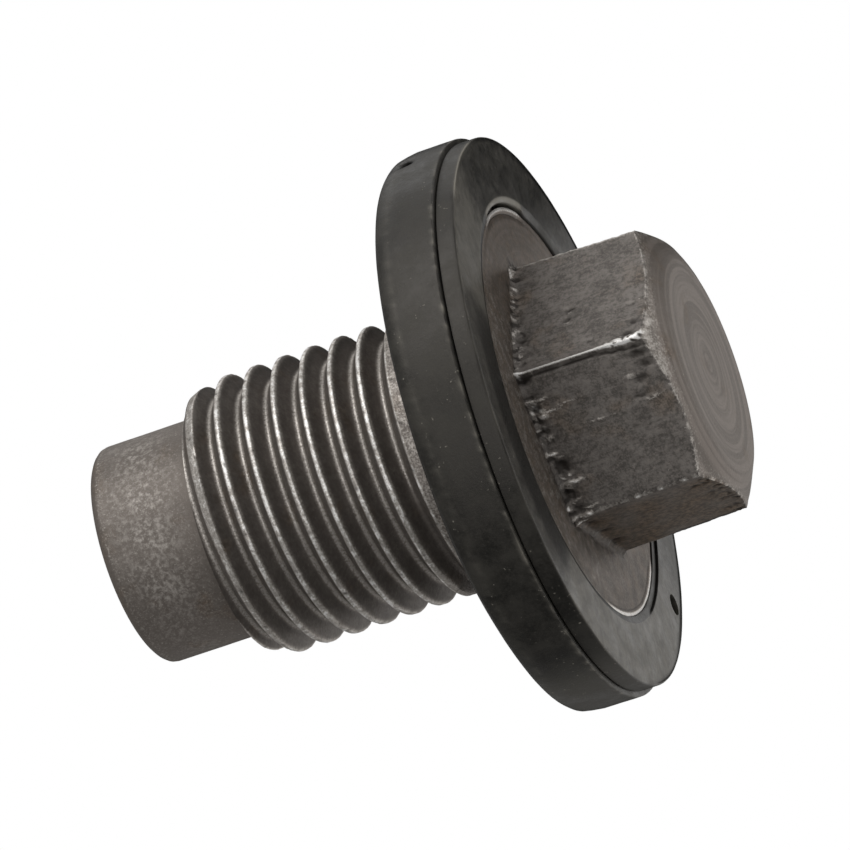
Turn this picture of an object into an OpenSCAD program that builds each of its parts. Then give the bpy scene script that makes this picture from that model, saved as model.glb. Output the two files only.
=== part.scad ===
// Oil drain plug: a steel hex-head plug with a rubber seal moulded onto its flange.
// Millimetres. The plug stands on its head, nose up: the head's end face is at z = 0
// and the thread axis is Z. A corner of the hexagon lies on +X.

/* [Head] */
// Width across the flats, where the head meets the flange
head_af = 13; // [11:0.1:16]
// Height from the head's end face to the bare steel face of the flange
head_h = 7.4; // [5:0.1:12]
// Lean of each flat in degrees: the forged head narrows towards its end
head_draft = 1.2; // [0:0.1:2.5]
// How far the flat end face stops short of the flats, inside the turned bevel
head_end_inset = 0.95; // [0.1:0.05:1.5]
// Slope of the turned bevel at the head's end, in degrees
head_bevel_deg = 27; // [15:1:40]

/* [Flange] */
// Diameter of the bare steel face around the head
face_d = 20.6; // [19.2:0.1:24]
// Step from the bare face down to the rebate that the rubber fills
rebate = 0.8; // [0.4:0.05:1.5]
// Width of the rebate around the bare face, out to the steel flange's rim
rebate_w = 3.2; // [2.8:0.05:4]
// Thickness of the steel flange inside the rubber
flange_t = 2.1; // [1.5:0.1:4]
// Width of the rubber's seat on the nose side, from the flange's rim in to the bare land
under_w = 4.3; // [3.8:0.05:4.8]
// Height of that land above the flange
land_h = 0.6; // [0.3:0.05:1]

/* [Seal] */
// Thickness of the rubber over the flange's rim
rim_cover = 0.65; // [0.55:0.05:1.5]
// How far the rubber stands above the bare steel face of the head side
seal_proud = 0.2; // [0:0.05:0.5]
// Width of the groove between the bare steel face and the rubber
seal_groove = 0.35; // [0.2:0.05:1]
// Fall of the rim's radius at its nose-side edge
rim_crown = 0.3; // [0.05:0.05:0.4]
// Length over which the rim falls to its nose-side edge
rim_fall_h = 1; // [0.4:0.1:1.5]
// Radius of the rubber's lip around the bare steel face
lip_round = 0.25; // [0.1:0.05:0.35]
// Distance of the mould's parting line from the head-side face
parting_depth = 1; // [0.6:0.05:1.2]
// Step down of the rim's radius on the head side of that line, where the mould's other half met it
parting_step = 0.25; // [0.05:0.05:0.35]
// Depth of the parting line's groove below that step
parting_groove = 0.12; // [0.05:0.01:0.2]
// Size of the sloped edge between the rim and the head-side face
face_edge = 0.1; // [0.05:0.05:0.3]
// Rubber under the flange, from the steel to the rim's nose-side edge
under_t = 0.85; // [0.7:0.05:1.5]
// Distance of the sealing bead's crest from the rubber's edge around the bare land
bead_inset = 1.85; // [1.6:0.05:2.6]
// Height of the sealing bead above the rim's nose-side edge
bead_h = 0.45; // [0.2:0.05:0.8]
// Radius of the sealing bead's round crest
bead_round = 0.95; // [0.85:0.05:1.5]
// Gap between the steel land and the rubber around it
land_gap = 0.15; // [0.05:0.05:0.5]
// Diameter of the hole that the mould's locating pin leaves
pin_hole_d = 1.1; // [0.6:0.1:1.3]
// Distance of that hole's edge from the steel flange's rim, inside which it lies
pin_inset = 0.15; // [0.05:0.05:0.6]
// Angle of that hole from the hexagon's corner on +X
pin_angle = 158; // [0:1:359]

/* [Thread] */
// Outer diameter of the thread, over its crests
thread_d = 13.95; // [13.7:0.05:15]
// Distance from one crest to the next
pitch = 1.5; // [1.25:0.25:2]
// Distance from the flange's land to the shoulder at the thread's far end
shank_h = 14.15; // [12:0.05:24]
// Length of the plain neck under the flange
neck_h = 1.6; // [1:0.1:3]
// Size of the sloped fillet between the neck and the land
neck_fillet = 0.4; // [0.1:0.05:0.8]
// Angle of the first crest line from the hexagon's corner on +X
thread_start = 12; // [0:1:359]
// Fall of the outer radius over the lead-in at the thread's far end
lead_in = 0.5; // [0.2:0.05:0.8]
// Length of that lead-in
lead_in_h = 1.3; // [0.4:0.1:1.5]

/* [Nose] */
// How far the pilot nose's side lies inside the thread's root
nose_inset = 0.53; // [0.3:0.01:1.5]
// Length of the nose beyond the thread's shoulder
nose_h = 5.3; // [2:0.1:12]
// Radius of the nose's rounded end edge
nose_edge = 0.45; // [0.1:0.05:1.5]

/* [Hidden] */

$fn = 96;
over = 1;

// Heights along the axis, from the head's end face
face_z = head_h;
rebate_z = face_z + rebate;
under_z = rebate_z + flange_t;
land_z = under_z + land_h;
neck_z = land_z + neck_h;
shoulder_z = land_z + shank_h;
nose_z = shoulder_z + nose_h;

// ISO metric thread: the root lies 0.6134 pitch below the crests, between 60 degree flanks
thread_depth = 0.6134 * pitch;
thread_r = thread_d / 2;
root_r = thread_r - thread_depth;
nose_r = root_r - nose_inset;
// Rolling swells the blank, so the plain neck has about the pitch diameter
neck_r = thread_r - thread_depth / 2;
flank_slope = tan(30);
crest_w = pitch / 8;
root_w = pitch - crest_w - 2 * thread_depth * flank_slope;
// The neck opens to the crests at about the slope that the thread rollers leave
neck_cone_h = (thread_r - neck_r) * 1.5;

// The groove is cut by a section that starts outside the crests. Its steps are counted for
// each turn, and near the flange it fades out over three quarters of a turn.
groove_out_r = thread_r + 0.3;
groove_steps = 32;
fade_turns = 0.75;
// The groove's first section still cuts nothing, by this little
start_gap = 0.02;
groove_start_z = neck_z + pitch / 2;
groove_turns = (shoulder_z - groove_start_z) / pitch + 1;

// The flange's radii
face_r = face_d / 2;
flange_r = face_r + rebate_w;
land_r = flange_r - under_w;

// The seal's own heights and radii
seal_face_z = face_z - seal_proud;
seal_edge_z = under_z + under_t;
seal_r = flange_r + rim_cover;
step_r = seal_r - parting_step;
seal_bore_r = face_r + seal_groove;
seal_land_r = land_r + land_gap;
bead_r = seal_land_r + bead_inset;
parting_z = seal_face_z + parting_depth;

// Six leaning flats cut from a round bar, then the end turned to a bevel
module head() {
    corner_r = head_af / sqrt(3);
    end_r = head_af / 2 - head_end_inset;
    cutter = 2 * corner_r;
    intersection() {
        difference() {
            cylinder(h = head_h + rebate / 2, r = corner_r + over);
            for (k = [0:5])
                rotate([0, 0, 30 + 60 * k])
                    translate([head_af / 2, 0, head_h])
                        rotate([0, head_draft, 0])
                            translate([0, -cutter, -cutter])
                                cube([cutter, 2 * cutter, 2 * cutter]);
        }
        rotate_extrude()
            polygon([
                [0, 0], [end_r, 0],
                [corner_r + over, (corner_r + over - end_r) * tan(head_bevel_deg)],
                [corner_r + over, head_h + rebate], [0, head_h + rebate]
            ]);
    }
}

// Flange, neck, thread blank and nose, turned about the axis
module turned_blank() {
    rotate_extrude() {
        polygon([
            [0, face_z], [face_r, face_z], [face_r, rebate_z],
            [flange_r, rebate_z], [flange_r, under_z],
            [land_r, under_z], [land_r, land_z],
            [neck_r + neck_fillet, land_z], [neck_r, land_z + neck_fillet],
            [neck_r, neck_z], [thread_r, neck_z + neck_cone_h],
            [thread_r, shoulder_z - lead_in_h], [thread_r - lead_in, shoulder_z],
            [nose_r, shoulder_z], [nose_r, nose_z - nose_edge],
            [nose_r - nose_edge, nose_z - nose_edge], [nose_r - nose_edge, nose_z],
            [0, nose_z]
        ]);
        translate([nose_r - nose_edge, nose_z - nose_edge]) circle(r = nose_edge);
    }
}

// Depth of the groove after a number of turns: it rises out of the metal near the flange
function groove_depth(turn) = thread_depth * min(1, turn / fade_turns);

// The groove's section at one step along the helix, flanks leaning 30 degrees
function groove_ring(turn) =
    let (
        bottom_r = thread_r - groove_depth(turn) + (turn < fade_turns ? start_gap : 0),
        half_bottom = root_w / 2,
        half_top = half_bottom + (groove_out_r - bottom_r) * flank_slope,
        z = groove_start_z + pitch * turn,
        a = thread_start + 360 * turn
    )
    [
        [bottom_r * cos(a), bottom_r * sin(a), z - half_bottom],
        [groove_out_r * cos(a), groove_out_r * sin(a), z - half_top],
        [groove_out_r * cos(a), groove_out_r * sin(a), z + half_top],
        [bottom_r * cos(a), bottom_r * sin(a), z + half_bottom]
    ];

// The helical groove between the thread's crests, as one swept solid
module thread_groove() {
    steps = ceil(groove_turns * groove_steps);
    points = [for (i = [0:steps]) each groove_ring(i / groove_steps)];
    sides = [
        for (i = [0:steps - 1]) for (j = [0:3])
            let (a = 4 * i + j, b = 4 * i + (j + 1) % 4)
                each [[a, b, b + 4], [a, b + 4, a + 4]]
    ];
    last = 4 * steps;
    ends = [[3, 2, 1, 0], [last, last + 1, last + 2, last + 3]];
    polyhedron(points = points, faces = concat(sides, ends), convexity = 10);
}

// The plug, forged in one piece, turned, and its thread rolled
module plug_body() {
    color([0.33, 0.31, 0.3])
        difference() {
            union() {
                head();
                turned_blank();
            }
            thread_groove();
        }
}

// The rubber's section: it wraps the flange's rim, with a bead towards the sump
module seal_section() {
    polygon([
        [seal_bore_r + lip_round, seal_face_z], [step_r - face_edge, seal_face_z],
        [step_r, seal_face_z + face_edge], [step_r, parting_z - parting_groove],
        [step_r - parting_groove, parting_z], [seal_r, parting_z],
        [seal_r, seal_edge_z - rim_fall_h], [seal_r - rim_crown, seal_edge_z],
        [seal_land_r, seal_edge_z], [seal_land_r, under_z],
        [flange_r, under_z], [flange_r, rebate_z],
        [seal_bore_r, rebate_z], [seal_bore_r, seal_face_z + lip_round]
    ]);
    // Rounded lip around the bare steel face
    intersection() {
        translate([seal_bore_r + lip_round, seal_face_z + lip_round]) circle(r = lip_round);
        translate([seal_bore_r, seal_face_z]) square(lip_round);
    }
    // Sealing bead, the part of a round cord that stands above the rubber
    intersection() {
        translate([bead_r, seal_edge_z + bead_h - bead_round]) circle(r = bead_round);
        translate([bead_r - bead_round, seal_edge_z]) square([2 * bead_round, bead_h]);
    }
}

// The seal, moulded onto the flange, less the hole of the mould's locating pin
module rubber_seal() {
    color([0.09, 0.1, 0.1])
        difference() {
            rotate_extrude() seal_section();
            rotate([0, 0, pin_angle])
                translate([flange_r - pin_inset - pin_hole_d / 2, 0, seal_face_z - over])
                    cylinder(h = over + seal_proud + rebate + flange_t / 2, d = pin_hole_d);
        }
}

plug_body();
rubber_seal();
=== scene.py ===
import math

import bmesh
import bpy
from mathutils import Matrix, Vector, noise


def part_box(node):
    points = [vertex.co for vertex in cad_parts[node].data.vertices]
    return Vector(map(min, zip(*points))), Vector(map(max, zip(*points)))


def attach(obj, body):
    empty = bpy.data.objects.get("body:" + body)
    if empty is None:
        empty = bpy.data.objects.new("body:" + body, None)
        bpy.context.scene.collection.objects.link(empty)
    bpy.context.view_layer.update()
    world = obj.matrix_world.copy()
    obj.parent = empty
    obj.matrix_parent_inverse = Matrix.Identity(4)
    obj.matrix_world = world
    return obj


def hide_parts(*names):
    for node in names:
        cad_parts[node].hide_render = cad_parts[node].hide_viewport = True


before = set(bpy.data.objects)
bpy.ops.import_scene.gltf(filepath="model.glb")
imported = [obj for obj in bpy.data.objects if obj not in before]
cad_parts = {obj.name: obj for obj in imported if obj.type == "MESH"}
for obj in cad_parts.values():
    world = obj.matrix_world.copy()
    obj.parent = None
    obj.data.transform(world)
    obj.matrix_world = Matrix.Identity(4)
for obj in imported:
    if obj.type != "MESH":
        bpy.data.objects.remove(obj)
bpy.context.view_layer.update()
mm = 0.001

# Camera: a long lens that looks up at the head's end from 15 degrees below the flange's
# plane, rolled so that the nose points to the left and a little down. The frame is 850 px.
photo_px = 850
lens_px = 8000
view_turn = math.radians(11.4)
view_low = math.radians(15.4)
view_roll = math.radians(-108.67)
view_distance = 387.4 * mm
view_point = Vector((0, 0, 15 * mm))
view_slip = Vector((-0.096 * mm, -1.69 * mm, 0))

camera = bpy.data.objects.new("camera", bpy.data.cameras.new("camera"))
camera.data.sensor_width = 36
camera.data.lens = lens_px / photo_px * camera.data.sensor_width
camera.data.clip_start = 10 * mm
camera.data.clip_end = 10
view_axes = (
    Matrix.Rotation(view_turn, 3, "Z")
    @ Matrix.Rotation(math.pi / 2 + view_low, 3, "X")
    @ Matrix.Rotation(view_roll, 3, "Z")
)
camera.rotation_mode = "QUATERNION"
camera.rotation_quaternion = view_axes.to_quaternion()
camera.location = view_point - view_axes @ (view_slip - Vector((0, 0, view_distance)))
bpy.context.collection.objects.link(camera)
bpy.context.scene.camera = camera
bpy.context.scene.view_settings.view_transform = "Standard"


# Studio: a white room behind the plug, dimmer round the camera, with three large soft
# lamps. A side of the room is named as the camera sees it: right, up and towards it.
def node(tree, kind, inputs=(), **settings):
    """A shader node. Each input is a value, or the socket that feeds it."""
    made = tree.nodes.new("ShaderNode" + kind)
    for name, value in settings.items():
        setattr(made, name, value)
    for key, value in dict(inputs).items():
        if isinstance(value, bpy.types.NodeSocket):
            tree.links.new(value, made.inputs[key])
        else:
            made.inputs[key].default_value = value
    return made


def reckon(tree, operation, first, second=0.0):
    """One step of arithmetic between numbers or sockets."""
    return node(tree, "Math", {0: first, 1: second}, operation=operation).outputs[0]


def share(tree, value, low, high, start=0.0, end=1.0):
    """Runs smoothly from start to end as a value goes from low to high."""
    return node(
        tree, "MapRange", {"Value": value, 1: low, 2: high, 3: start, 4: end},
        interpolation_type="SMOOTHSTEP",
    ).outputs[0]


def towards(tree, direction, side):
    """1 where a direction looks straight at a side, 0 across it and -1 away from it."""
    facing = node(tree, "VectorMath", {0: direction, 1: side}, operation="DOT_PRODUCT")
    return facing.outputs["Value"]


# Strengths of the room's light, of its walls in reflections, and of the dark walls' share
room_light = 0.55
wall_light = 0.3
floor_share = 0.2
back_share = 0.05
white_side = view_axes @ Vector((0.75, 0.3, -0.6)).normalized()
dark_side = view_axes @ Vector((-0.1, -0.9, 0.4)).normalized()
world = bpy.data.worlds.new("studio")
bpy.context.scene.world = world
world.use_nodes = True
tree = world.node_tree
tree.nodes.clear()
ray = node(tree, "LightPath").outputs
direction = node(tree, "TexCoord").outputs["Generated"]
mirrored = share(tree, towards(tree, direction, white_side), 0.5, 0.85, wall_light, 1.0)
dimmed = share(tree, towards(tree, direction, dark_side), 0.42, 0.93, 1.0, floor_share)
mirrored = reckon(tree, "MULTIPLY", mirrored, dimmed)
# The wall behind the plug is dark in its reflections, which draws its outline
behind = view_axes @ Vector((0, 0, -1))
dimmed = share(tree, towards(tree, direction, behind), 0.87, 0.97, 1.0, back_share)
mirrored = reckon(tree, "MULTIPLY", mirrored, dimmed)
power = node(tree, "MapRange", {0: ray["Is Glossy Ray"], 3: room_light, 4: mirrored}).outputs[0]
seen = reckon(tree, "MAXIMUM", ray["Is Camera Ray"], ray["Is Transmission Ray"])
power = node(tree, "MapRange", {0: seen, 3: power, 4: 1.0}).outputs[0]
white = node(tree, "Background", {"Color": (1, 1, 1, 1), "Strength": power})
tree.links.new(white.outputs[0], tree.nodes.new("ShaderNodeOutputWorld").inputs["Surface"])


def lamp(name, place, size, watts):
    """An area lamp aimed at the plug, its place given in the camera's axes."""
    light = bpy.data.lights.new(name, "AREA")
    light.shape = "RECTANGLE"
    light.size, light.size_y = size
    light.energy = watts
    made = bpy.data.objects.new(name, light)
    made.location = view_point + view_axes @ Vector(place)
    made.rotation_mode = "QUATERNION"
    made.rotation_quaternion = (view_point - made.location).to_track_quat("-Z", "Y")
    bpy.context.collection.objects.link(made)


lamp("lamp_above", (-0.20, 0.25, 0.13), (0.34, 0.28), 0.62)
lamp("lamp_front", (-0.14, -0.03, 0.40), (0.3, 0.3), 0.28)
lamp("lamp_back", (-0.10, 0.24, -0.24), (0.2, 0.2), 0.09)


# Black card beyond the flange, out of the picture. Only the upper part of the flange's face
# mirrors it, and stays dark there.
def finished(bm, name):
    """An object made from a bmesh, shaded smooth but for edges sharper than 50 degrees."""
    mesh = bpy.data.meshes.new(name)
    bm.to_mesh(mesh)
    bm.free()
    for polygon in mesh.polygons:
        polygon.use_smooth = True
    mesh.set_sharp_from_angle(angle=math.radians(50))
    made = bpy.data.objects.new(name, mesh)
    bpy.context.collection.objects.link(made)
    return made


sight = view_axes.col[2]
mirror_way = Vector((-sight.x, -sight.y, sight.z))
image_up = Vector((0, 0, 1)).cross(sight).normalized()
card_half = (10 * mm, 20 * mm)
card_edge = 8.5 * mm
card_away = 22 * mm
rubber_face_z = 7.2 * mm
card_place = Vector((0, 0, rubber_face_z)) + card_away * mirror_way
card_place += (card_edge + card_half[0]) * image_up
card_axes = Matrix((image_up, mirror_way.cross(image_up), mirror_way)).transposed()
bm = bmesh.new()
bmesh.ops.create_grid(bm, x_segments=1, y_segments=1, size=1)
bmesh.ops.scale(bm, verts=bm.verts, vec=(*card_half, 1))
bmesh.ops.rotate(bm, verts=bm.verts, cent=(0, 0, 0), matrix=card_axes)
bmesh.ops.translate(bm, verts=bm.verts, vec=card_place)
black_card = finished(bm, "black_card")
black_card.visible_camera = False
black_card.visible_diffuse = False
black_card.visible_transmission = False
black_card.visible_shadow = False
felt = bpy.data.materials.new("black_felt")
felt.use_nodes = True
shader = felt.node_tree.nodes["Principled BSDF"]
shader.inputs["Base Color"].default_value = (0.01, 0.01, 0.01, 1)
shader.inputs["Roughness"].default_value = 1.0
black_card.data.materials.append(felt)

# Floor under the head's end face. It is plain white card with the plug's shadow when it is
# looked at from above, and lets every other ray through, so the light from below stays.
floor_half = 0.6
floor_drop = 0.02 * mm
bm = bmesh.new()
bmesh.ops.create_grid(bm, x_segments=1, y_segments=1, size=floor_half)
bmesh.ops.translate(bm, verts=bm.verts, vec=(0, 0, -floor_drop))
floor = finished(bm, "floor")
white_card = bpy.data.materials.new("white_card")
white_card.use_nodes = True
tree = white_card.node_tree
tree.nodes.clear()
seen = node(tree, "LightPath").outputs["Is Camera Ray"]
from_above = reckon(tree, "SUBTRACT", seen, node(tree, "NewGeometry").outputs["Backfacing"])
clear = node(tree, "BsdfTransparent").outputs[0]
paper = node(tree, "BsdfDiffuse", {"Color": (0.9, 0.9, 0.9, 1)}).outputs[0]
shown = node(tree, "MixShader", {0: from_above, 1: clear, 2: paper}).outputs[0]
tree.links.new(shown, tree.nodes.new("ShaderNodeOutputMaterial").inputs["Surface"])
floor.data.materials.append(white_card)


# Plug body: one steel forging, head, flange, thread and nose. The hexagon head is hot
# forged with leaning flats and a torn root, and its end is turned to a bevel.
wedges = 20
touch = 0.001 * mm


def swept(corners, steps, rise=0.0):
    """A chain of edges through corners (radius, height, cuts in the edge that follows it),
    swept one turn round the axis, and up by a rise. A wedge is spun and then repeated."""
    bm = bmesh.new()
    for name in ("wear_and_highlight", "grime_and_shade", "turned", "rusty", "pits_and_glints", "dust_and_sheen"):
        bm.verts.layers.float.new(name)
    verts = [bm.verts.new((r, 0, z)) for r, z, _ in corners]
    edges = [bm.edges.new(pair) for pair in zip(verts, verts[1:])]
    for edge, (_, _, cuts) in zip(edges, corners):
        if cuts:
            bmesh.ops.subdivide_edges(bm, edges=[edge], cuts=cuts)
    bmesh.ops.spin(
        bm, geom=bm.verts[:] + bm.edges[:], cent=(0, 0, 0), axis=(0, 0, 1),
        dvec=(0, 0, rise / steps), angle=2 * math.pi / wedges, steps=steps // wedges,
        use_merge=False, use_duplicate=False,
    )
    wedge = bm.verts[:] + bm.edges[:] + bm.faces[:]
    for k in range(1, wedges):
        repeat(bm, wedge, 2 * math.pi * k / wedges, rise * k / wedges)
    bmesh.ops.remove_doubles(bm, verts=bm.verts, dist=touch)
    return bm


def repeat(bm, geometry, angle, rise):
    """Copies geometry, turned round the axis and raised."""
    made = bmesh.ops.duplicate(bm, geom=geometry)["geom"]
    points = [g for g in made if isinstance(g, bmesh.types.BMVert)]
    bmesh.ops.rotate(bm, verts=points, cent=(0, 0, 0), matrix=Matrix.Rotation(angle, 3, "Z"))
    bmesh.ops.translate(bm, verts=points, vec=(0, 0, rise))


def layers(bm, *names):
    """The named layers of wear that a swept shape carries."""
    return [bm.verts.layers.float[name] for name in names]


def lumps(place, size, seed=0):
    """Smooth noise between -1 and 1 with lumps of about a size."""
    return noise.noise(place / size + Vector((seed, 0, 0)))


def between(value, low, high):
    """0 below low, 1 above high, and smooth between them."""
    t = min(1, max(0, (value - low) / (high - low)))
    return t * t * (3 - 2 * t)


def hump(distance, width):
    """1 at no distance, and 0 well beyond a width."""
    return math.exp(-((distance / width) ** 2))


head_af = 13.0 * mm
head_lean = math.radians(1.2)
head_end_r = 5.55 * mm
head_bevel = math.radians(27)
face_z = 7.4 * mm
face_r = 10.3 * mm
root_fillet = 0.2 * mm
head_steps = 480
# Rounding of the hexagon's corners, at 0, 60 and so on to 300 degrees
corner_rounding = [r * mm for r in (0.16, 0.08, 0.08, 0.22, 0.26, 0.07)]
burred_corner = 5
bright_corner = 4
outline_corner = 3
full_corners = (1, 2)
# The bevel was turned a little off centre, and is longest towards this side
bevel_slip = 0.14 * mm
bevel_side = math.radians(-38)
# Where the head's end carries a painted outline shade, where it is scraped and rusty, and where a
# painted highlight runs along the flange face's edge
outline_shade_side = math.radians(101.4)
scraped_side = math.radians(-60)
rusty_side = math.radians(-155)
bright_edges = ((math.radians(12), 0.93, 0.965), (math.radians(186), 0.84, 0.9))


def hexagon_radius(angle, z):
    """Radius of the leaning hexagon at an angle and a height, its corners rounded."""
    flat = head_af / 2 - (face_z - z) * math.tan(head_lean)
    rounding = corner_rounding[round(angle / (math.pi / 3)) % 6]
    to_corner = abs((angle + math.pi / 6) % (math.pi / 3) - math.pi / 6)
    if math.tan(math.pi / 6 - to_corner) < (flat - rounding) * math.tan(math.pi / 6) / flat:
        return flat / math.cos(math.pi / 6 - to_corner)
    centre = (flat - rounding) / math.cos(math.pi / 6)
    reach = math.sqrt(max(0, rounding**2 - (centre * math.sin(to_corner)) ** 2))
    return centre * math.cos(to_corner) + reach


# The head starts as a turned bar of radius bar_r, whose bevel rises at 45 degrees, on the
# flange's face. Its points are then moved out or in to the hexagon.
bar_r = 7.0 * mm
bar_z = bar_r - head_end_r
head = swept([
    (0, 0, 4), (head_end_r - 1.1 * mm, 0, 6), (head_end_r, 0, 5), (bar_r, bar_z, 42),
    (bar_r, face_z - root_fillet, 2), (bar_r + root_fillet, face_z, 11),
    (face_r - 0.32 * mm, face_z, 0), (face_r - 0.25 * mm, face_z, 0),
    (face_r - 0.17 * mm, face_z, 0), (face_r - 0.12 * mm, face_z, 0),
    (face_r - 0.04 * mm, face_z, 0), (face_r, face_z + 0.03 * mm, 0),
    (face_r, face_z + 0.1 * mm, 0),
], head_steps)
# Marks on the flats: the flat's angle, distance across it, height, half width, half length
# and depth in mm. A mark of depth below zero stands out as a bright burr.
marks = (
    (-30, -0.38, 4.6, 0.12, 0.26, 0.12), (-30, -1.05, 4.72, 0.11, 0.24, 0.12),
    (-30, -1.27, 4.62, 0.07, 0.22, -0.05), (-30, -0.6, 4.5, 0.07, 0.22, -0.04),
    (-30, -1.35, 1.45, 0.13, 0.2, 0.08), (-30, -2.6, 1.4, 0.2, 0.25, 0.12),
    (-30, 2.4, 6.7, 0.14, 0.16, 0.08), (-30, -3.0, 3.65, 0.1, 0.16, 0.06),
    (-30, -3.25, 1.7, 0.16, 0.3, 0.1), (-30, -3.5, 1.35, 0.12, 0.25, -0.08),
    (-90, 3.45, 7.2, 0.2, 0.3, 0.25), (-90, 1.95, 7.1, 0.2, 0.3, 0.2),
    (-90, 0.9, 7.05, 0.16, 0.26, 0.16), (-90, -1.04, 6.9, 0.26, 0.3, 0.22),
    (-90, -2.45, 7.1, 0.16, 0.26, 0.16), (-90, -3.3, 6.9, 0.16, 0.26, 0.14),
    (-90, 2.9, 1.5, 0.22, 0.5, 0.13), (-90, 2.3, 1.3, 0.2, 0.34, 0.1),
    (-90, 1.7, 1.8, 0.24, 0.34, 0.09), (-90, 0.9, 2.1, 0.12, 0.4, 0.08),
    (-90, -2.06, 3.7, 0.1, 0.1, 0.06), (-90, 1.95, 2.2, 0.1, 0.4, -0.03),
    (-90, 0.7, 1.5, 0.08, 0.5, -0.03), (-90, -0.4, 2.9, 0.09, 0.3, 0.03),
    (-90, 1.42, 6.9, 0.14, 0.35, -0.14), (-90, 1.62, 6.3, 0.08, 0.55, -0.08),
    (-90, 1.8, 5.4, 0.05, 0.8, -0.04), (-90, 2.3, 6.7, 0.08, 0.4, -0.05),
    (-90, 0.35, 6.95, 0.11, 0.16, -0.08), (-90, -0.6, 6.9, 0.09, 0.26, -0.07),
    (-90, -1.95, 6.6, 0.11, 0.6, -0.14), (-90, -2.2, 6.95, 0.08, 0.2, -0.1),
    (-90, -3.68, 6.8, 0.08, 0.55, -0.17), (-150, 3.35, 7.1, 0.09, 0.35, -0.14),
    (-150, 3.6, 6.6, 0.07, 0.4, -0.08), (-90, -3.35, 6.4, 0.07, 0.5, -0.1),
    (-90, -2.8, 6.8, 0.1, 0.14, -0.06), (-90, 0.5, 4.4, 0.05, 0.9, -0.03),
    (-150, 2.3, 1.6, 0.22, 0.26, 0.09), (-150, 0.6, 1.25, 0.22, 0.2, 0.09),
    (-150, -0.9, 1.2, 0.18, 0.22, 0.09), (-150, -2.6, 1.4, 0.24, 0.25, 0.09),
    (-150, 1.2, 4.4, 0.16, 0.26, 0.05), (-150, -1.5, 7.0, 0.26, 0.34, 0.12),
    (-150, 0.5, 6.9, 0.26, 0.34, 0.12), (-150, 2.4, 7.0, 0.26, 0.34, 0.12),
    (30, 1.2, 4.9, 0.2, 0.35, 0.1), (30, -2.0, 2.4, 0.15, 0.3, 0.08),
    (30, -0.4, 7.0, 0.3, 0.35, 0.16), (90, -1.1, 3.2, 0.2, 0.3, 0.09),
    (90, 2.2, 7.0, 0.3, 0.4, 0.18), (90, -2.4, 6.9, 0.3, 0.4, 0.16),
    (150, 0.8, 5.4, 0.2, 0.3, 0.1), (150, -1.9, 7.0, 0.3, 0.4, 0.18),
    (150, 2.7, 1.6, 0.25, 0.3, 0.08),
)
wear_and_highlight, grime_and_shade, turned, rusty = layers(head, "wear_and_highlight", "grime_and_shade", "turned", "rusty")
corner_crowding = 0.7
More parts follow.
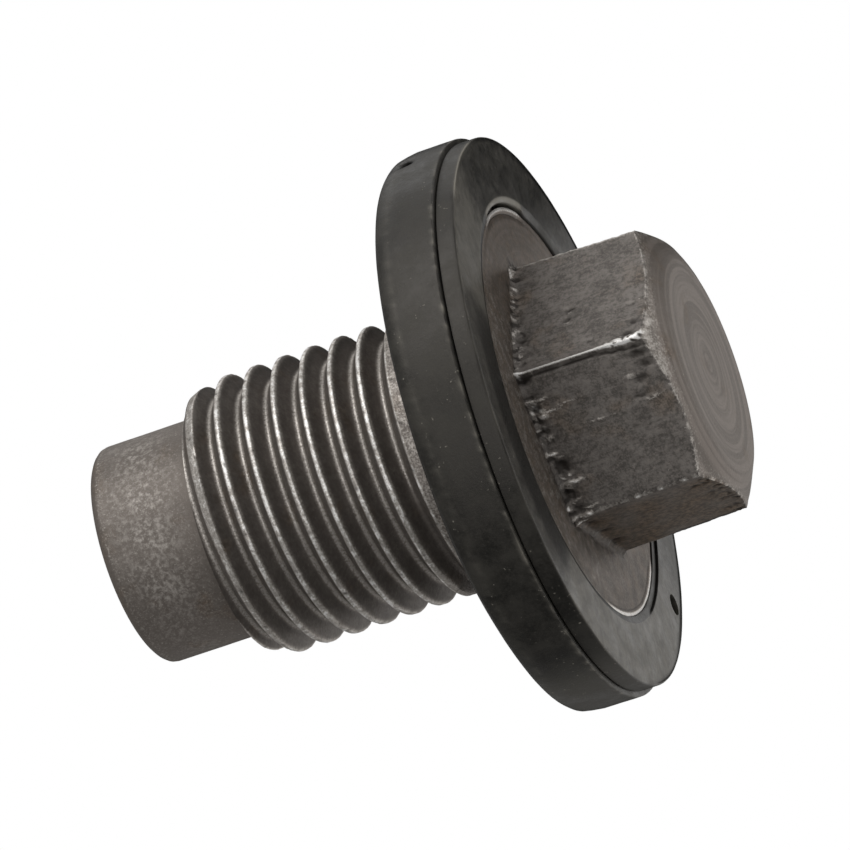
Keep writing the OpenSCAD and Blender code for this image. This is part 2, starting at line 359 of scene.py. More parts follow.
for v in head.verts:
    radius, z = v.co.xy.length, v.co.z
    if radius < 0.01 * mm:
        v[turned] = 1
        continue
    angle = math.atan2(v.co.y, v.co.x)
    # The columns crowd towards the hexagon's corners, and spread again over the flange
    corner = round(angle / (math.pi / 3))
    place = angle / (math.pi / 6) - 2 * corner
    even = 1 - (1 - corner_crowding) * (1 - between(radius, bar_r + root_fillet, face_r))
    angle = (2 * corner + even * place + (1 - even) * place**3) * math.pi / 6
    heading = Vector((math.cos(angle), math.sin(angle), 0))
    slip = math.cos(angle - bevel_side)
    end_r = head_end_r - bevel_slip * slip
    bevel_z = (hexagon_radius(angle, bar_z) - end_r) * math.tan(head_bevel)
    bevel_z += 0.8 * bevel_slip * between(slip, 0.5, 0.95)
    if radius < bar_r - touch:
        v[turned] = 1
        if z > touch:
            part = z / bar_z
            radius = end_r + (hexagon_radius(angle, bevel_z) - end_r) * part
            scraped = 0.35 + 0.5 * lumps(v.co, 0.35 * mm, 83)
            v[wear_and_highlight] = (0.36 + max(0, scraped) * hump(angle - scraped_side, 0.3)) * part
        else:
            # Painted shade: the end face's rim is blackened on one side, standing in for its
            # outline
            end_outline_shade = between(math.cos(angle - outline_shade_side), 0.45, 0.6)
            v[grime_and_shade] = 0.85 * end_outline_shade * between(radius, head_end_r - 0.12 * mm, head_end_r)
            radius *= end_r / head_end_r
        # The end face runs into the bevel without an edge where the bevel is long
        slope = bevel_z / (hexagon_radius(angle, bevel_z) - end_r)
        soft = (0.5 + 0.4 * slip) * mm
        past = min(1, max(-1, (radius - end_r) / soft))
        z = slope * (soft * (past + 1) ** 2 / 4 + max(0, radius - end_r - soft))
    elif radius < bar_r + root_fillet + touch:
        part = (z - bar_z) / (face_z - bar_z)
        z = bevel_z + (face_z - bevel_z) * part
        flat_r = hexagon_radius(angle, z)
        spot = heading * flat_r + Vector((0, 0, z))
        along = Vector((spot.x, spot.y, spot.z / 4))
        move = 0.02 * lumps(spot, 1.2 * mm) + 0.012 * lumps(spot, 0.45 * mm, 7)
        # Metal torn by the forging die along the root, worst on the flat at -90 degrees
        torn_flat = 1.0 if -120 < math.degrees(angle) < -60 else 0.55
        reach = torn_flat * (1.3 + 1.1 * lumps(heading * flat_r, 0.9 * mm, 15)) * mm
        at_root = between(z, face_z - max(0.2 * mm, reach), face_z - 0.1 * mm)
        torn = 1.3 * (lumps(along, 0.3 * mm, 11) + 0.9 * lumps(spot, 0.24 * mm, 5))
        low = between(math.cos(angle - rusty_side), 0.8, 0.9)
        torn *= at_root * torn_flat * (1.7 - torn_flat) * (1 - 0.9 * low)
        torn *= 0.8 + 0.8 * lumps(spot, 1.1 * mm, 13)
        move += 0.18 * torn
        v[wear_and_highlight] = between(torn, 0.1, 0.42)
        v[grime_and_shade] = 0.95 * between(-torn, 0.08, 0.35)
        if torn_flat < 1:
            pocks = at_root * lumps(spot, 0.26 * mm, 19)
            v[wear_and_highlight] = max(0.5 * v[wear_and_highlight], 0.8 * between(pocks, 0.15, 0.45))
            v[grime_and_shade] = max(v[grime_and_shade], between(-pocks, 0.1, 0.4))
        # Burr along one corner, with a groove beside it painted dark as the burr's shadow. The
        # others are nicked, and one has a painted outline shade
        beside = (angle - corner * math.pi / 3) * flat_r
        edge_noise = lumps(Vector((9 * corner * mm, 0, z)), 0.3 * mm, 21)
        number = corner % 6
        if number == burred_corner:
            ragged = 1 - between(z, 1.6 * mm, 4 * mm)
            beside += 0.12 * mm * ragged * lumps(spot, 0.3 * mm, 25)
            ridge = hump(beside, (0.08 + 0.13 * ragged) * mm)
            move += ridge * (0.09 + 0.12 * ragged * (0.3 + edge_noise))
            torn_edge = ragged * between(lumps(spot, 0.17 * mm, 27), 0, 0.3)
            away = abs(beside - 0.04 * mm)
            bright_half = (0.03 + 0.12 * ragged) * mm
            fresh = 1 - between(away, bright_half, bright_half + (0.07 + 0.06 * ragged) * mm)
            v[wear_and_highlight] = max(v[wear_and_highlight], fresh * (1.3 - torn_edge))
            v[grime_and_shade] = max(v[grime_and_shade], 0.8 * torn_edge * fresh)
            groove = hump(beside + (0.2 + 0.16 * ragged) * mm, 0.08 * mm)
            move -= 0.08 * groove
            # Painted shadow: the groove beside the burr is darkened
            v[grime_and_shade] = max(v[grime_and_shade], groove * between(lumps(spot, 0.35 * mm, 29), -0.9, 0.1))
        else:
            ridge = hump(beside, 0.15 * mm)
            move += ridge * (0.05 * edge_noise - 0.02)
            gaps = between(edge_noise, -0.4, 0.4) if corner else 1
            v[wear_and_highlight] = max(v[wear_and_highlight], (1.1 if number == bright_corner else 0.8) * ridge * gaps)
            # Painted shade: a dark line along this corner, with its wear taken away, standing in
            # for the outline
            if number == outline_corner:
                corner_outline_shade = 1 - between(abs(beside), 0.2 * mm, 0.4 * mm)
                corner_outline_shade *= 1 - between(z, 4 * mm, 5.5 * mm)
                v[wear_and_highlight] *= 1 - corner_outline_shade
                v[grime_and_shade] = max(v[grime_and_shade], corner_outline_shade)
            if number in full_corners:
                move += 0.05 * ridge * (1 - between(z - bevel_z, 0.2 * mm, 1.2 * mm))
        at_end = 1 - between(z - bevel_z, 0, 0.16 * mm)
        v[wear_and_highlight] = max(v[wear_and_highlight], 0.6 * at_end * between(lumps(spot, 0.3 * mm, 31), -0.6, 0.3))
        # Rust on the lowest flat, with specks along its bevelled end
        v[rusty] = low * (0.7 + 0.5 * lumps(spot, 1.2 * mm, 45))
        speck = between(lumps(spot, 0.28 * mm, 49), 0, 0.3)
        speck *= 1 - between(z - bevel_z, 0.2 * mm, 0.9 * mm)
        move -= 0.08 * low * speck
        v[wear_and_highlight] *= 1 - 0.8 * low * between(z, face_z - 0.8 * mm, face_z - 0.2 * mm)
        v[grime_and_shade] = max(v[grime_and_shade], low * speck, 0.75 * low * between(z, face_z - 0.5 * mm, face_z))
        # The marks' outlines are ragged
        across_here = 0.13 * lumps(spot, 0.2 * mm, 35)
        height_here = z / mm + 0.16 * lumps(spot, 0.24 * mm, 37)
        for flat, across, height, half_width, half_length, depth in marks:
            turn = angle - math.radians(flat)
            if math.cos(turn) > 0.8:
                away = ((flat_r * math.sin(turn) / mm + across_here - across) / half_width) ** 2
                away += ((height_here - height) / half_length) ** 2
                dent = math.exp(-away) if away < 6 else 0
                move -= depth * dent * (1 + 0.6 * lumps(spot, 0.25 * mm, 33))
                layer = grime_and_shade if depth > 0 else wear_and_highlight
                v[layer] = max(v[layer], dent * (0.55 + 4 * abs(depth)))
        move *= 0.3 + 0.7 * between(z - bevel_z, 0, 0.1 * mm)
        radius = flat_r + radius - bar_r + move * mm
    else:
        inner = hexagon_radius(angle, face_z) + root_fillet
        part = (radius - bar_r - root_fillet) / (face_r - bar_r - root_fillet)
        edge = between(radius, face_r - 0.17 * mm, face_r - 0.12 * mm)
        score = hump(radius - face_r + 0.25 * mm, 0.05 * mm)
        radius = inner + (face_r - inner) * part
        spot = heading * radius
        at_root = 1 - between(radius - inner, 0, 0.9 * mm)
        torn = max(0, lumps(spot, 0.4 * mm, 41)) * (0.2 + 0.8 * between(-heading.y, 0.6, 0.85))
        # A thin bright edge, a painted highlight on two stretches with slight wear elsewhere, and
        # a score line inside it painted dark as shade
        burr = max(between(math.cos(angle - at), low, high) for at, low, high in bright_edges)
        radius += 0.05 * mm * burr * edge
        edge *= 0.15 + 0.85 * burr
        score *= 0.2 + 0.8 * burr
        z += (0.01 * lumps(spot, 0.9 * mm, 17) - 0.1 * at_root * torn) * mm
        z += (0.05 * score - 0.03 * edge) * mm
        v[wear_and_highlight] = max(0.9 * at_root * torn, edge)
        # One side of the face is darker, an oil stain with painted shade and reflection of the
        # head, and the root has darker patches
        stain_and_shade = between(-heading.x, 0, 0.7) * (1 - edge)
        stain_and_shade *= 0.5 + 0.35 * lumps(spot, 0.9 * mm, 53)
        v[grime_and_shade] = max(at_root * between(lumps(spot, 0.4 * mm, 43), -0.1, 0.5), 0.8 * score, stain_and_shade)
        # The side towards the flat at -90 degrees is scuffed
        scuffed = between(-heading.y, 0.2, 0.7) * (0.28 + 0.3 * lumps(spot, 0.4 * mm, 58))
        v[wear_and_highlight] = max(v[wear_and_highlight], scuffed * (1 - score))
        v[turned] = 0.7 * (1 - at_root)
        v[rusty] = max(0, 0.35 + 0.4 * lumps(spot, 0.8 * mm, 85)) * (1 - edge)
    v.co = radius * heading + Vector((0, 0, z))

# Flange and neck, turned. The rubber covers the flange's rim.
plug_steps = 240
flange_r = 13.5 * mm
rebate_z = 8.2 * mm
under_z = 10.3 * mm
land_r = 9.2 * mm
land_z = 10.9 * mm
neck_z = 12.5 * mm
pitch = 1.5 * mm
thread_r = 6.975 * mm
thread_depth = 0.6134 * pitch
root_r = thread_r - thread_depth
neck_r = thread_r - thread_depth / 2
neck_fillet = 0.4 * mm
join_z = neck_z - 0.3 * mm
flange = swept([
    (face_r, face_z + 0.15 * mm, 1), (face_r, rebate_z, 2), (flange_r, rebate_z, 2),
    (flange_r, under_z, 3), (land_r, under_z, 1), (land_r, land_z, 2),
    (neck_r + neck_fillet, land_z, 0), (neck_r + 0.12 * mm, land_z + 0.12 * mm, 0),
    (neck_r, land_z + neck_fillet, 2), (neck_r, join_z, 0),
], plug_steps)

# Thread, rolled: one pitch of its profile is swept up a right-hand helix for a turn, and
# the turn is repeated. It is cut off level at both ends and runs out near the flange.
shoulder_z = 25.05 * mm
crest_half = 0.1 * mm
flank = thread_depth * math.tan(math.pi / 6)
crest_z = 9.449 * mm
groove_z = 13.25 * mm
groove_turn = math.radians(12)
fade_turns = 0.75
neck_slope = 1.5
thread_turns = 11
lead_in = 0.5 * mm
lead_in_h = 1.3 * mm
half_profile = [
    (thread_r, 0, 0), (thread_r, crest_half - 0.02 * mm, 0),
    (thread_r - 0.05 * mm, crest_half + 0.03 * mm, 3),
    (root_r + 0.13 * mm, crest_half + flank - 0.075 * mm, 0),
    (root_r + 0.035 * mm, crest_half + flank + 0.01 * mm, 0), (root_r, pitch / 2, 0),
]
profile = [(r, crest_z + z, cuts) for r, z, cuts in half_profile]
for k in range(len(half_profile) - 2, -1, -1):
    r, z, _ = half_profile[k]
    profile.append((r, crest_z + pitch - z, half_profile[k - 1][2] if k else 0))
thread = swept(profile, plug_steps, pitch)
one_turn = thread.verts[:] + thread.edges[:] + thread.faces[:]
for k in range(1, thread_turns):
    repeat(thread, one_turn, 0, pitch * k)
bmesh.ops.remove_doubles(thread, verts=thread.verts, dist=0.003 * mm)
for plane, above in ((join_z, False), (shoulder_z, True)):
    bmesh.ops.bisect_plane(
        thread, geom=thread.verts[:] + thread.edges[:] + thread.faces[:], dist=0.0001 * mm,
        plane_co=(0, 0, plane), plane_no=(0, 0, 1), clear_outer=above, clear_inner=not above,
    )
wear_and_highlight, grime_and_shade, turned = layers(thread, "wear_and_highlight", "grime_and_shade", "turned")
for v in thread.verts:
    angle = math.atan2(v.co.y, v.co.x)
    radius = v.co.xy.length
    spot = v.co.copy()
    around = (angle - groove_turn) / (2 * math.pi)
    groove = around + round((v.co.z - groove_z) / pitch - around)
    fade = min(1, max(0, groove / fade_turns))
    radius = min(thread_r, radius + thread_depth * (1 - fade))
    cone = thread_r - lead_in * max(0, (v.co.z - shoulder_z + lead_in_h) / lead_in_h)
    neck = max(neck_r, neck_r + (v.co.z - neck_z) / neck_slope)
    limit = min(cone, neck)
    cut = between(radius, limit - 0.02 * mm, limit + 0.01 * mm)
    led_in = cut * (cone < thread_r)
    crest = max(between(radius, thread_r - 0.08 * mm, thread_r - 0.03 * mm), led_in)
    nick = between(lumps(spot, 0.3 * mm, 51), 0.3, 0.7)
    radius = min(radius, limit + 0.02 * mm * cut * lumps(spot, 0.25 * mm, 57))
    radius -= crest * mm * (0.01 + 0.01 * lumps(spot, 0.5 * mm, 55) + 0.04 * nick)
    # Painted highlight along the root and painted shade on the flanks; the crests are worn and
    # nicked
    root_highlight = 1 - between(radius, root_r + 0.01 * mm, root_r + 0.08 * mm)
    v[wear_and_highlight] = max(crest * (0.85 + 0.4 * lumps(spot, 0.3 * mm, 59)), 0.6 * root_highlight)
    v[wear_and_highlight] *= 0.45 + 0.55 * between(fade, 0.6, 1)
    v[wear_and_highlight] *= 1 - 0.15 * led_in
    v[grime_and_shade] = max(0.7 * nick * crest, 0.42 * (1 - crest) * (1 - root_highlight))
    v[turned] = 0.4
    v.co.x, v.co.y = radius * math.cos(angle), radius * math.sin(angle)

# Nose: the plain turned pilot, from the shoulder's inner edge to its end face.
nose_r = root_r - 0.53 * mm
nose_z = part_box("plug_body")[1].z
nose_edge = 0.45 * mm
# The finely pitted band, whose pits are painted bright as glints: the side where it is thickest,
# its height and half its width
pit_and_glint_side = math.radians(-54)
pit_z = 27.8 * mm
pit_half = 1.5 * mm
nose = swept([
    (nose_r, shoulder_z, 16), (nose_r, nose_z - nose_edge, 0),
    (nose_r - 0.04 * mm, nose_z - 0.26 * mm, 0), (nose_r - 0.14 * mm, nose_z - 0.13 * mm, 0),
    (nose_r - 0.27 * mm, nose_z - 0.04 * mm, 0), (nose_r - nose_edge, nose_z, 6), (0, nose_z, 0),
], plug_steps)
wear_and_highlight, grime_and_shade, turned, pits_and_glints = layers(nose, "wear_and_highlight", "grime_and_shade", "turned", "pits_and_glints")
for v in nose.verts:
    spot = v.co.copy()
    v[turned] = 0.8
    side = between(v.co.z, shoulder_z, shoulder_z + 0.5 * mm)
    side *= 1 - between(v.co.z, nose_z - nose_edge - 0.3 * mm, nose_z - nose_edge)
    grow = 1 + 0.0012 * side * (lumps(spot, 1.3 * mm, 61) + 0.5 * lumps(spot, 0.5 * mm, 63))
    v.co.x *= grow
    v.co.y *= grow
    reach = spot.x * math.cos(pit_and_glint_side) + spot.y * math.sin(pit_and_glint_side)
    thick = 0.3 + 0.6 * between(reach, 0.2 * nose_r, 0.95 * nose_r)
    thick += 0.4 * lumps(spot, 1.4 * mm, 65)
    v[wear_and_highlight] = max(0.2 * side, 0.3 * hump(spot.z - nose_z + nose_edge, 0.1 * mm))
    v[pits_and_glints] = side * thick * hump(spot.z - pit_z, pit_half)
    # A dark line of painted shade in the shoulder's corner, and a darker end
    v[grime_and_shade] = 0.5 * hump(spot.z - shoulder_z, 0.15 * mm)
    v[grime_and_shade] += 0.35 * between(spot.z, nose_z - 0.3 * mm, nose_z)

# The four are joined where the rubber or the thread's ends hide it
bm = bmesh.new()
for part in (head, flange, thread, nose):
    mesh = bpy.data.meshes.new("part")
    part.to_mesh(mesh)
    part.free()
    bm.from_mesh(mesh)
    bpy.data.meshes.remove(mesh)
for height in (face_z + 0.12 * mm, join_z, shoulder_z):
    rims = [
        e for e in bm.edges
        if e.is_boundary and all(abs(v.co.z - height) < 0.08 * mm for v in e.verts)
    ]
    bmesh.ops.bridge_loops(bm, edges=rims)
bmesh.ops.recalc_face_normals(bm, faces=bm.faces[:])
plug = finished(bm, "plug_steel")


def blend(tree, factor, first, second):
    """Blends two colours, each a colour in linear light or a socket."""
    return node(tree, "Mix", {0: factor, 6: first, 7: second}, data_type="RGBA").outputs[2]


def grain(tree, place, scale, detail=3.0, roughness=0.55):
    """Noise between 0 and 1, scale counted in lumps per millimetre."""
    inputs = {"Vector": place, "Scale": scale, "Detail": detail, "Roughness": roughness}
    return node(tree, "TexNoise", inputs).outputs[0]


def painted(tree, name):
    """A layer of wear that the mesh carries."""
    return node(tree, "Attribute", attribute_name=name).outputs["Fac"]


def in_mm(tree, along=1.0):
    """Object coordinates counted in millimetres, and drawn out or in along the axis."""
    metres = node(tree, "TexCoord").outputs["Object"]
    scale = (1 / mm, 1 / mm, along / mm)
    return node(tree, "Mapping", {"Vector": metres, "Scale": scale}).outputs[0]


# Flecks of bare metal or dust: small bright specks gathered in patches
flecks = bpy.data.node_groups.new("flecks", "ShaderNodeTree")
for socket, kind in (("Place", "Vector"), ("Scale", "Float"), ("Rarity", "Float")):
    flecks.interface.new_socket(socket, in_out="INPUT", socket_type="NodeSocket" + kind)
flecks.interface.new_socket("Mask", in_out="OUTPUT", socket_type="NodeSocketFloat")
given = flecks.nodes.new("NodeGroupInput").outputs
wanted = flecks.nodes.new("NodeGroupOutput").inputs
patch = grain(flecks, given["Place"], reckon(flecks, "MULTIPLY", given["Scale"], 0.12), 1.0)
speck = grain(flecks, given["Place"], given["Scale"], 2.0)
speck = reckon(flecks, "ADD", speck, share(flecks, patch, 0.35, 0.65, -0.06, 0.05))
over = reckon(flecks, "SUBTRACT", speck, given["Rarity"])
flecks.links.new(share(flecks, over, 0.0, 0.07), wanted["Mask"])

steel = bpy.data.materials.new("phosphated_steel")
steel.use_nodes = True
tree = steel.node_tree
shader = tree.nodes["Principled BSDF"]
place = in_mm(tree)
drawn = in_mm(tree, 0.14)
is_wear_and_highlight = painted(tree, "wear_and_highlight")
is_grime_and_shade = painted(tree, "grime_and_shade")
is_turned = painted(tree, "turned")
is_rusty = painted(tree, "rusty")
is_pits_and_glints = painted(tree, "pits_and_glints")
fine = grain(tree, place, 9.0, 3.0, 0.7)
cloud = grain(tree, place, 1.1, 3.0, 0.6)
scratch = grain(tree, drawn, 7.0, 3.0, 0.7)
# Turning marks: rings round the axis, broken up along each ring
flat_place = node(tree, "VectorMath", {0: place, 1: (1, 1, 0)}, operation="MULTIPLY").outputs[0]
from_axis = node(tree, "VectorMath", {0: flat_place}, operation="LENGTH").outputs["Value"]
heading = node(tree, "VectorMath", {0: flat_place}, operation="NORMALIZE").outputs[0]
spread = node(tree, "VectorMath", {0: heading, 3: 0.3}, operation="SCALE").outputs[0]
ring_step = node(tree, "CombineXYZ", {2: reckon(tree, "MULTIPLY", from_axis, 2.6)}).outputs[0]
ring_place = node(tree, "VectorMath", {0: spread, 1: ring_step}, operation="ADD").outputs[0]
rings = grain(tree, ring_place, 1.0, 2.0, 0.6)
bare = node(tree, "Group", node_tree=flecks)
tree.links.new(place, bare.inputs["Place"])
bare.inputs["Scale"].default_value = 7.0
tree.links.new(share(tree, is_wear_and_highlight, 0.1, 0.5, 0.76, 0.6), bare.inputs["Rarity"])

dark = (0.085, 0.077, 0.07, 1)
grey = (0.19, 0.173, 0.158, 1)
lathe_dark = (0.145, 0.125, 0.109, 1)
taupe = (0.22, 0.19, 0.168, 1)
brown = (0.21, 0.155, 0.11, 1)
dark_brown = (0.075, 0.055, 0.038, 1)
bright = (0.5, 0.465, 0.425, 1)
bare_metal_and_highlight = (0.9, 0.88, 0.85, 1)
soot_and_shade = (0.025, 0.021, 0.018, 1)
fine_step = reckon(tree, "SUBTRACT", fine, 0.5)
speckle = grain(tree, place, 4.5, 4.0, 0.75)
tone = reckon(tree, "MULTIPLY", cloud, 0.35)
tone = reckon(tree, "ADD", tone, reckon(tree, "MULTIPLY", scratch, 0.2))
tone = reckon(tree, "ADD", tone, reckon(tree, "MULTIPLY", speckle, 0.45))
colour = blend(tree, share(tree, tone, 0.4, 0.6), dark, grey)
colour = blend(tree, share(tree, fine, 0.45, 0.75, 0.0, 0.5), colour, taupe)
seen_rings = share(tree, cloud, 0.4, 0.65, 0.4, 1.0)
rings = reckon(tree, "MULTIPLY", reckon(tree, "SUBTRACT", rings, 0.5), seen_rings)
lathe = blend(tree, share(tree, rings, -0.07, 0.07), lathe_dark, taupe)
colour = blend(tree, is_turned, colour, lathe)
brown_share = share(tree, grain(tree, place, 0.5, 2.0), 0.55, 0.75, 0.0, 0.5)
rust = blend(tree, share(tree, speckle, 0.4, 0.62), dark_brown, brown)
colour = blend(tree, reckon(tree, "MAXIMUM", brown_share, is_rusty), colour, rust)
# The pitted band's bumps, with painted glints where they rise
leather = grain(tree, place, 3.6, 3.0, 0.65)
pit_glints = reckon(tree, "MULTIPLY", is_pits_and_glints, share(tree, leather, 0.42, 0.7, 0.0, 0.65))
colour = blend(tree, pit_glints, colour, bright)
colour = blend(tree, reckon(tree, "MULTIPLY", bare.outputs["Mask"], 0.6), colour, bright)
# Wear, with the painted highlights that the mesh carries, turns the colour bright and bare
wear_and_highlight_fine = reckon(tree, "ADD", is_wear_and_highlight, reckon(tree, "MULTIPLY", fine_step, 1.3))
wear_and_highlight_share = share(tree, wear_and_highlight_fine, 0.2, 0.8)
bare_and_highlight_share = share(tree, wear_and_highlight_fine, 0.7, 1.1)
colour = blend(tree, wear_and_highlight_share, colour, bright)
colour = blend(tree, bare_and_highlight_share, colour, bare_metal_and_highlight)
# Grime, with the painted shade that the mesh carries, darkens it towards soot
grime_and_shade_fine = reckon(tree, "ADD", is_grime_and_shade, fine_step)
colour = blend(tree, share(tree, grime_and_shade_fine, 0.15, 0.95, 0.0, 0.85), colour, soot_and_shade)
tree.links.new(colour, shader.inputs["Base Color"])
metallic = share(tree, wear_and_highlight_share, 0.0, 1.0, 0.5, 0.75)
metallic = node(tree, "MapRange", {0: bare_and_highlight_share, 3: metallic, 4: 0.5}).outputs[0]
tree.links.new(metallic, shader.inputs["Metallic"])
shader.inputs["Specular Tint"].default_value = (0.75, 0.72, 0.69, 1)
dull = share(tree, fine, 0.3, 0.7, 0.42, 0.56)
polish = node(tree, "MapRange", {0: wear_and_highlight_share, 3: dull, 4: 0.36}).outputs[0]
tree.links.new(polish, shader.inputs["Roughness"])
height = reckon(tree, "ADD", fine, reckon(tree, "MULTIPLY", scratch, 0.6))
height = reckon(tree, "ADD", height, reckon(tree, "MULTIPLY", rings, is_turned))
height = reckon(tree, "ADD", height, reckon(tree, "MULTIPLY", leather, is_pits_and_glints))
bump = node(tree, "Bump", {"Strength": 0.5, "Distance": 0.03 * mm, "Height": height}).outputs[0]
tree.links.new(bump, shader.inputs["Normal"])
plug.data.materials.append(steel)
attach(plug, "root")
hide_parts("plug_body")

# Rubber seal: a ring of black nitrile rubber moulded round the flange's rim and bonded to
# it. A parting line runs round the rim, and a bead on the nose side seals against the sump.
seal_steps = 360
seal_face_z = face_z - 0.2 * mm
seal_edge_z = 11.15 * mm
seal_r = 14.15 * mm
step_r = seal_r - 0.25 * mm
seal_land_r = land_r + 0.15 * mm
parting_z = seal_face_z + 1.0 * mm
bead_r = seal_land_r + 1.85 * mm
lip_r = face_r + 0.35 * mm
lip_round = 0.25 * mm
slit_r = 10.78 * mm
bm = swept([
    (lip_r, rebate_z, 2), (lip_r, seal_face_z + lip_round, 0),
    (lip_r + 0.02 * mm, seal_face_z + 0.14 * mm, 0),
    (lip_r + 0.07 * mm, seal_face_z + 0.05 * mm, 0),
    (slit_r - 0.03 * mm, seal_face_z + 0.02 * mm, 0),
    (slit_r, seal_face_z + 0.01 * mm, 0), (slit_r + 0.03 * mm, seal_face_z, 0),
    (lip_r + lip_round, seal_face_z, 12),
    (step_r - 0.1 * mm, seal_face_z, 0), (step_r - 0.03 * mm, seal_face_z + 0.03 * mm, 0),
    (step_r, seal_face_z + 0.1 * mm, 4), (step_r, parting_z - 0.08 * mm, 0),
    (step_r - 0.12 * mm, parting_z, 0), (seal_r - 0.05 * mm, parting_z + 0.01 * mm, 0),
    (seal_r, parting_z + 0.07 * mm, 0), (seal_r, parting_z + 0.12 * mm, 7),
    (seal_r, seal_edge_z - 1.0 * mm, 1), (seal_r - 0.06 * mm, seal_edge_z - 0.55 * mm, 0),
    (seal_r - 0.14 * mm, seal_edge_z - 0.16 * mm, 0), (seal_r - 0.28 * mm, seal_edge_z, 6),
    (bead_r + 0.82 * mm, seal_edge_z, 0), (bead_r + 0.55 * mm, seal_edge_z + 0.28 * mm, 0),
    (bead_r + 0.25 * mm, seal_edge_z + 0.42 * mm, 0), (bead_r, seal_edge_z + 0.45 * mm, 0),
    (bead_r - 0.25 * mm, seal_edge_z + 0.42 * mm, 0),
    (bead_r - 0.55 * mm, seal_edge_z + 0.28 * mm, 0), (bead_r - 0.82 * mm, seal_edge_z, 1),
    (seal_land_r, seal_edge_z, 1), (seal_land_r, under_z, 1), (flange_r, under_z, 1),
    (flange_r, rebate_z, 1), (lip_r, rebate_z, 0),
], seal_steps)
bmesh.ops.recalc_face_normals(bm, faces=bm.faces[:])
# Hole that the mould's locating pin left in the face
pin_r = 12.8 * mm
pin_turn = math.radians(158)
pin_half = 0.55 * mm
pin_depth = 0.93 * mm
pin = Vector((pin_r * math.cos(pin_turn), pin_r * math.sin(pin_turn), seal_face_z))
block = [
    f for f in bm.faces
    if f.normal.z < -0.9 and (f.calc_center_median() - pin).length < pin_half + 0.16 * mm
]
whole = bmesh.ops.dissolve_faces(bm, faces=block)["region"]
bmesh.ops.inset_individual(bm, faces=whole, thickness=0.08 * mm)
for v in whole[0].verts:
    v.co = pin + (v.co - pin).normalized() * pin_half
made = bmesh.ops.extrude_face_region(bm, geom=whole)["geom"]
bmesh.ops.delete(bm, geom=whole, context="FACES_KEEP_BOUNDARY")
bottom = [g for g in made if isinstance(g, bmesh.types.BMVert)]
bmesh.ops.translate(bm, verts=bottom, vec=(0, 0, pin_depth))
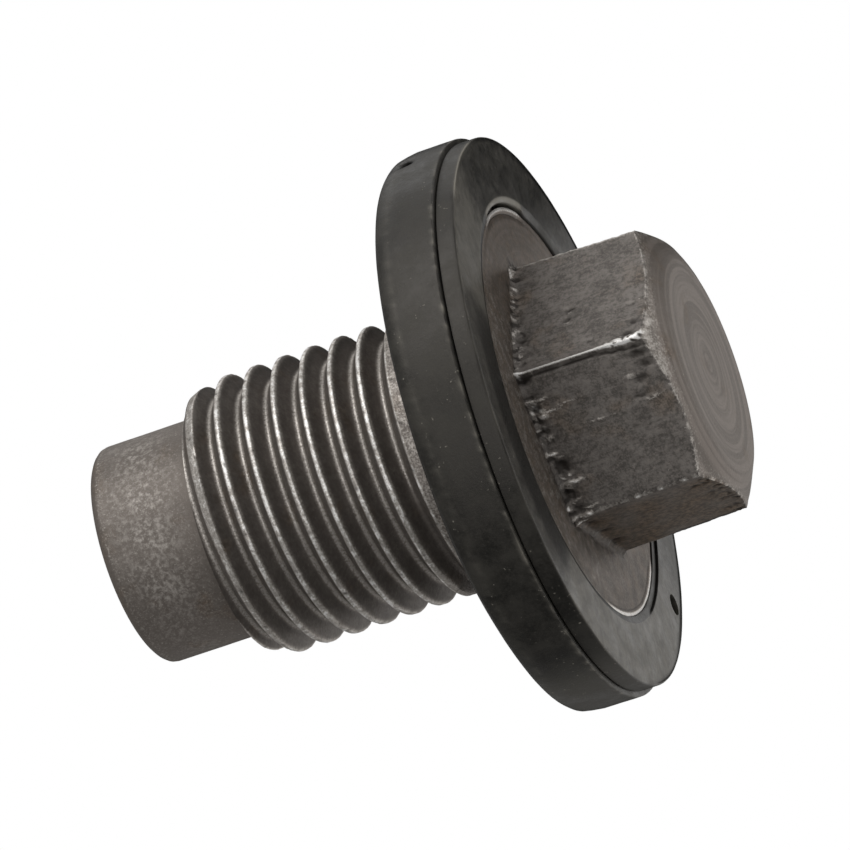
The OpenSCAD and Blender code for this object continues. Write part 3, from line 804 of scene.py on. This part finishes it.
# The notch in the rim, and the sides where the rim swells and where a sheen is painted on it
notch_turn = math.radians(-2.5)
notch_z = 10.2 * mm
swell_side = math.radians(-60)
sheen_side = math.radians(203)
dust_and_sheen, grime_and_shade = layers(bm, "dust_and_sheen", "grime_and_shade")
for v in bm.verts:
    radius, z = v.co.xy.length, v.co.z
    angle = math.atan2(v.co.y, v.co.x)
    # The same angle in degrees: degrees runs from -180 to 180, and turn from 0 to 360
    degrees = math.degrees(angle)
    turn = degrees % 360
    spot = v.co.copy()
    lip_highlight = painted_dark = dust_and_reflection = 0
    if radius < lip_r + lip_round + 0.01 * mm and z < rebate_z - 0.01 * mm:
        # Rubber flash fills the groove, but for one stretch where it stands open, and its lip
        # there carries a painted highlight
        opened = between(degrees, -10, -4) * (1 - between(degrees, 28, 34))
        lip_highlight = opened * hump(radius - lip_r - 0.1 * mm, 0.1 * mm)
        # The flash lies level with the steel, and a step stands open along one stretch of it,
        # painted black as its shade
        stepped = between(turn, 138, 146) * (1 - between(turn, 176, 184))
        if radius < slit_r - 0.04 * mm:
            radius -= 0.29 * mm * (1 - 0.6 * opened)
        if radius < slit_r + 0.01 * mm:
            level = max(0.13 * mm * stepped, 0.1 * mm - 0.22 * (radius - lip_r + 0.29 * mm))
            z = max(z, seal_face_z + level * (1 - opened))
        painted_dark = 0.75 * stepped * (0 < spot.xy.length - slit_r + 0.01 * mm < 0.05 * mm)
    outer = between(radius, step_r - 0.2 * mm, step_r)
    radius += outer * 0.02 * mm * (lumps(spot, 2.5 * mm, 71) + 0.4 * lumps(spot, 0.6 * mm, 73))
    if z < seal_face_z + 0.02 * mm:
        z += 0.005 * mm * (1 + lumps(spot, 1.6 * mm, 75))
        dust_and_reflection = 0.2 + 0.15 * lumps(spot, 0.6 * mm, 76) + 0.15 * lumps(spot, 0.25 * mm, 78)
        # Painted reflection: the face's thin dust film is paler on two stretches, and a stretch
        # beside them is painted dark as the head's reflection
        dust_and_reflection += 0.32 * between(turn, 308, 318) * (1 - between(turn, 340, 354))
        dust_and_reflection += 0.3 * between(turn, 140, 170) * (1 - between(turn, 243, 250))
        head_reflection = between(turn, 245, 250) * (1 - between(turn, 302, 314))
        head_reflection *= 1 - between(radius, 12.3 * mm, 12.8 * mm)
        # Painted shade: a dark line along the face's outer edge on its far side, standing in for
        # the outline
        far_side = between(turn, 10, 50) * (1 - between(turn, 150, 190))
        starts = step_r - (0.3 + 0.25 * far_side) * mm
        rim_line = between(radius, starts, starts + (0.18 + 0.07 * far_side) * mm)
        rim_line *= between(turn, 2, 12) * (1 - between(turn, 190, 205))
        painted_dark = max(painted_dark, 0.4 * head_reflection, 0.85 * rim_line)
        # The flash is as dusty as the steel beside it
        flash = between(slit_r + 0.1 * mm - radius, 0, 0.1 * mm) * between(turn, 180, 200)
        dust_and_reflection = max(dust_and_reflection, 0.5 * flash * (1 - between(turn, 340, 352))) * (1 - head_reflection)
    # The nose-side edge swells a little, and has a notch painted dark as its shade
    swell = between(math.cos(angle - swell_side), 0.3, 0.9)
    swell *= between(radius, 12.5 * mm, 13.5 * mm)
    z += 0.14 * mm * swell * between(z, seal_edge_z - 0.6 * mm, seal_edge_z - 0.1 * mm)
    notch = hump((angle - notch_turn) * radius, 0.34 * mm) * hump(z - notch_z, 0.28 * mm)
    radius -= 0.4 * mm * notch * outer
    v[grime_and_shade] = max(painted_dark, min(1, 3 * notch) * outer)
    ledge = hump(z - parting_z - 0.07 * mm, 0.07 * mm) * outer
    edge = hump(z - seal_face_z - 0.04 * mm, 0.05 * mm) * outer
    rear = hump(z - seal_edge_z + 0.5 * mm, 0.3 * mm) * outer
    # Painted sheen: a pale dust colour on one side low on the rim
    rim_sheen = between(math.cos(angle - sheen_side), 0.86, 0.97) * outer
    # Painted highlight: the face's outer edge is pale along one stretch; elsewhere it is dusty
    bright_edge = between(degrees, -27, -20) * (1 - between(degrees, 0, 8.6))
    v[dust_and_sheen] = max(
        ledge * (0.3 + 0.7 * lumps(spot, 0.4 * mm, 77)), 1.2 * lip_highlight, dust_and_reflection,
        edge * max(0.3 + 0.4 * lumps(spot, 1.5 * mm, 79), bright_edge),
        0.25 * rear * (0.6 + lumps(spot, 0.35 * mm, 81)), 0.28 * rim_sheen,
    )
    v.co = (radius * math.cos(angle), radius * math.sin(angle), z)
bmesh.ops.recalc_face_normals(bm, faces=bm.faces[:])
seal = finished(bm, "seal_rubber")

rubber = bpy.data.materials.new("nitrile_rubber")
rubber.use_nodes = True
tree = rubber.node_tree
shader = tree.nodes["Principled BSDF"]
shader.inputs["Specular Tint"].default_value = (1, 0.93, 0.85, 1)
place = in_mm(tree)
is_dust_and_sheen = painted(tree, "dust_and_sheen")
is_grime_and_shade = painted(tree, "grime_and_shade")
fine = grain(tree, place, 6.0, 3.0, 0.7)
cloud = grain(tree, place, 0.6, 4.0, 0.65)
specks = node(tree, "Group", node_tree=flecks)
tree.links.new(place, specks.inputs["Place"])
specks.inputs["Scale"].default_value = 6.0
tree.links.new(share(tree, is_dust_and_sheen, 0.0, 0.6, 0.72, 0.63), specks.inputs["Rarity"])
black = (0.009, 0.009, 0.008, 1)
smoke = (0.024, 0.023, 0.0195, 1)
dust_and_sheen_tone = (0.27, 0.25, 0.21, 1)
painted_shade_black = (0.002, 0.002, 0.002, 1)
colour = blend(tree, share(tree, cloud, 0.35, 0.7), black, smoke)
colour = blend(tree, share(tree, fine, 0.45, 0.75, 0.0, 0.7), colour, smoke)
# Dust, with the painted sheen, highlights and reflections that the mesh carries, makes the colour
# paler
dust_and_sheen_share = reckon(tree, "MULTIPLY", specks.outputs["Mask"], 0.5)
dust_and_sheen_share = reckon(tree, "MAXIMUM", share(tree, is_dust_and_sheen, 0.0, 1.3, 0.0, 1.0), dust_and_sheen_share)
colour = blend(tree, dust_and_sheen_share, colour, dust_and_sheen_tone)
# Painted shade: the rubber is blackest where the mesh carries painted shade
colour = blend(tree, is_grime_and_shade, colour, painted_shade_black)
tree.links.new(colour, shader.inputs["Base Color"])
dull = reckon(tree, "ADD", cloud, reckon(tree, "MULTIPLY", fine, 0.5))
dull = share(tree, dull, 0.5, 0.95, 0.36, 0.56)
tree.links.new(reckon(tree, "MAXIMUM", dull, is_grime_and_shade), shader.inputs["Roughness"])
# The sheen fades where the rubber is seen edge on, and where shade is painted
edge_on = node(tree, "LayerWeight", {"Blend": 0.5}).outputs["Facing"]
sheen = share(tree, edge_on, 0.8, 0.98, 0.5, 0.1)
sheen = reckon(tree, "MULTIPLY", sheen, reckon(tree, "SUBTRACT", 1.0, is_grime_and_shade))
tree.links.new(sheen, shader.inputs["Specular IOR Level"])
bump = node(tree, "Bump", {"Strength": 0.45, "Distance": 0.025 * mm, "Height": fine}).outputs[0]
tree.links.new(bump, shader.inputs["Normal"])
seal.data.materials.append(rubber)
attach(seal, "root")
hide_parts("rubber_seal")
